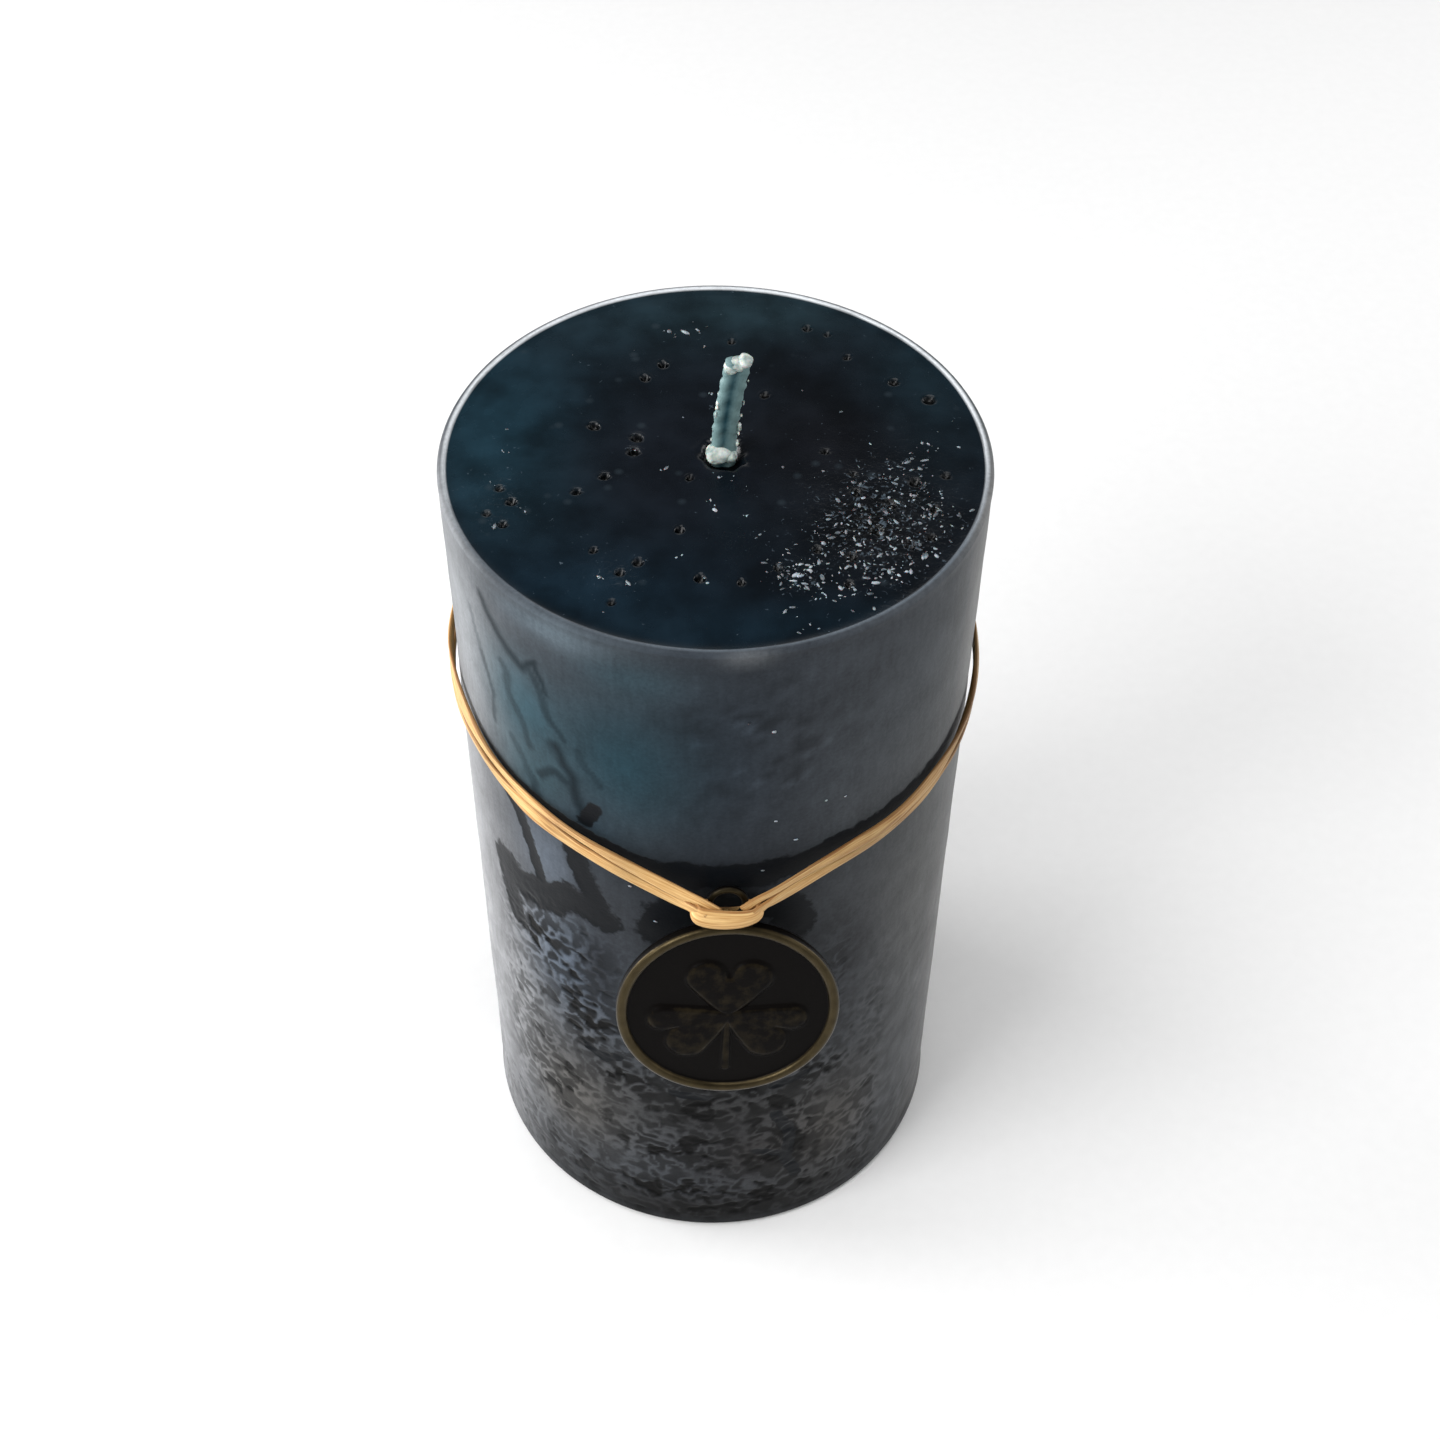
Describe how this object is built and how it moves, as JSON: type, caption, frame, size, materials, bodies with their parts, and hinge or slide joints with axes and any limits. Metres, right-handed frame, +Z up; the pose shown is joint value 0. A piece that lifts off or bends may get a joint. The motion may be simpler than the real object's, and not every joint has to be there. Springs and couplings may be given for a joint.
{
  "type": "pillar candle",
  "caption": "Round pillar candle with a short wick, a two-ply raffia cord tied round it and a cast clover medal hanging from the cord in front.",
  "frame": {"origin": "on the candle's axis, in the plane of its base", "axes": "+Z up along the candle's axis; -Y is the front, where the medal hangs; +X is to the right seen from the front"},
  "size_m": [0.0743, 0.0829, 0.1457],
  "materials": {
    "dark_wax": "satin",
    "cotton_wick": "matte",
    "pale_wax": "satin",
    "tin_plate": "satin",
    "raffia": "matte",
    "antique_bronze": "satin"
  },
  "bodies": {
    "candle": {"wax_body": "dark_wax", "wick_braid": "cotton_wick", "wick_foot_wax": "pale_wax", "wick_tip_wax": "pale_wax", "wick_sustainer": "tin_plate"},
    "cord": {"cord_left_upper": "raffia", "cord_left_lower": "raffia", "cord_right_upper": "raffia", "cord_right_lower": "raffia", "cord_tail_left": "raffia", "cord_tail_right": "raffia", "cord_back_knot": "raffia"},
    "hitch": {"cord_hitch": "raffia"},
    "medal": {"medal": "antique_bronze"}
  },
  "joints": [
    {"name": "cord_slide", "type": "slide", "parent": "candle", "child": "cord", "axis": [0, 0, 1], "range_m": [-0.045, 0.05]},
    {"name": "medal_lift", "type": "hinge", "parent": "cord", "child": "hitch", "pos_m": [0, -0.03593, 0.08833], "axis": [-1, 0, 0], "range_deg": [0, 80]},
    {"name": "medal_swing", "type": "hinge", "parent": "hitch", "child": "medal", "pos_m": [0, -0.03647, 0.08579], "axis": [0, -0.9781, 0.2079], "range_deg": [-10, 10]}
  ]
}
